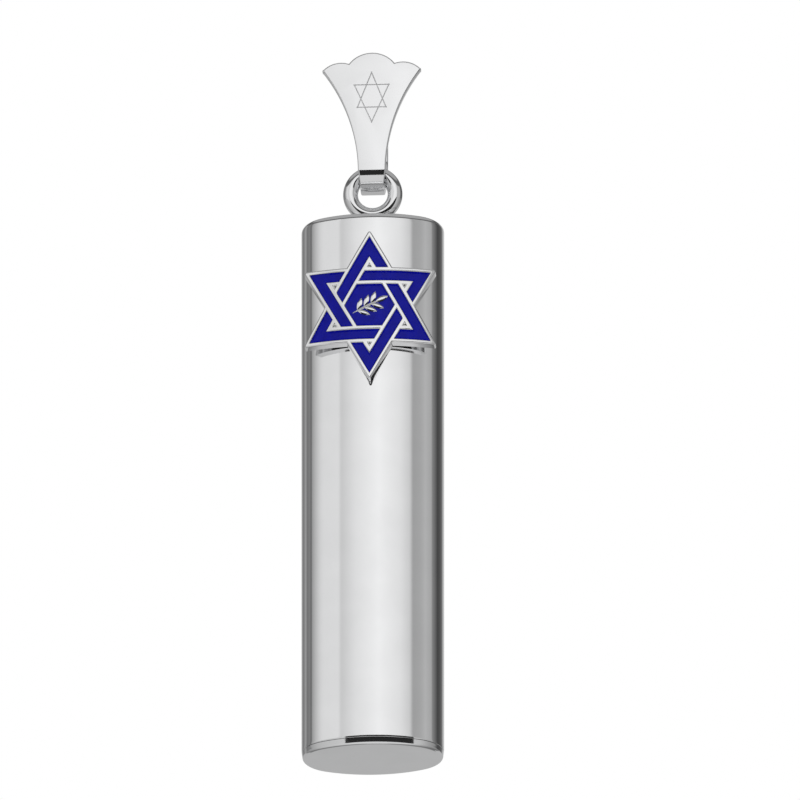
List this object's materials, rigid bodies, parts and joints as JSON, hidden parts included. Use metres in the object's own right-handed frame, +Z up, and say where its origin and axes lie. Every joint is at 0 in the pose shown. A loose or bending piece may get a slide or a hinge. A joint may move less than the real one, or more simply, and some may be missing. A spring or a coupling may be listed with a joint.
{
  "type": "pendant mezuzah case",
  "caption": "Oval silver tube pendant with an enamelled star on its front, a push-in bottom plug, a rolled parchment inside, and a fan-shaped bail hanging in a soldered loop.",
  "frame": {"origin": "the chain's seat: the middle of the top of the opening between the bail's fan and its back leg", "axes": "+Z up along the case as it hangs, -Y the front that carries the star, +X to the right of someone facing the star"},
  "size_m": [0.01, 0.0072, 0.0525],
  "materials": {
    "silver": "mirror-polished sterling silver",
    "cast_silver": "polished casting with softly rounded borders",
    "inner_silver": "unpolished silver sheet with fine draw lines",
    "solder": "flowed silver solder",
    "blue_enamel": "glossy cobalt enamel",
    "parchment": "matt parchment",
    "paper_band": "matt paper"
  },
  "bodies": {
    "bail": {"bail": "silver", "bail_solder": "solder"},
    "case": {"case_tube": "silver", "top_cap": "silver", "top_cap_solder": "solder", "hanging_loop": "silver", "loop_solder": "solder", "star_plate": "cast_silver", "star_solder": "solder", "enamel_arm_1": "blue_enamel", "enamel_arm_2": "blue_enamel", "enamel_arm_3": "blue_enamel", "enamel_arm_4": "blue_enamel", "enamel_arm_5": "blue_enamel", "enamel_arm_6": "blue_enamel", "enamel_center": "blue_enamel"},
    "end_plug": {"end_plate": "silver", "end_collar": "inner_silver", "collar_solder": "solder"},
    "scroll": {"scroll": "parchment", "scroll_band": "paper_band"}
  },
  "joints": [
    {"name": "case_swing", "type": "hinge", "parent": "bail", "child": "case", "pos_m": [0, 0, -0.00509], "axis": [1, 0, 0], "range_deg": [-60, 60]},
    {"name": "plug_slide", "type": "slide", "parent": "case", "child": "end_plug", "axis": [0, 0, -1], "range_m": [0, 0.036]},
    {"name": "scroll_slide", "type": "slide", "parent": "end_plug", "child": "scroll", "axis": [0, 0, 1], "range_m": [0, 0.0065]}
  ]
}
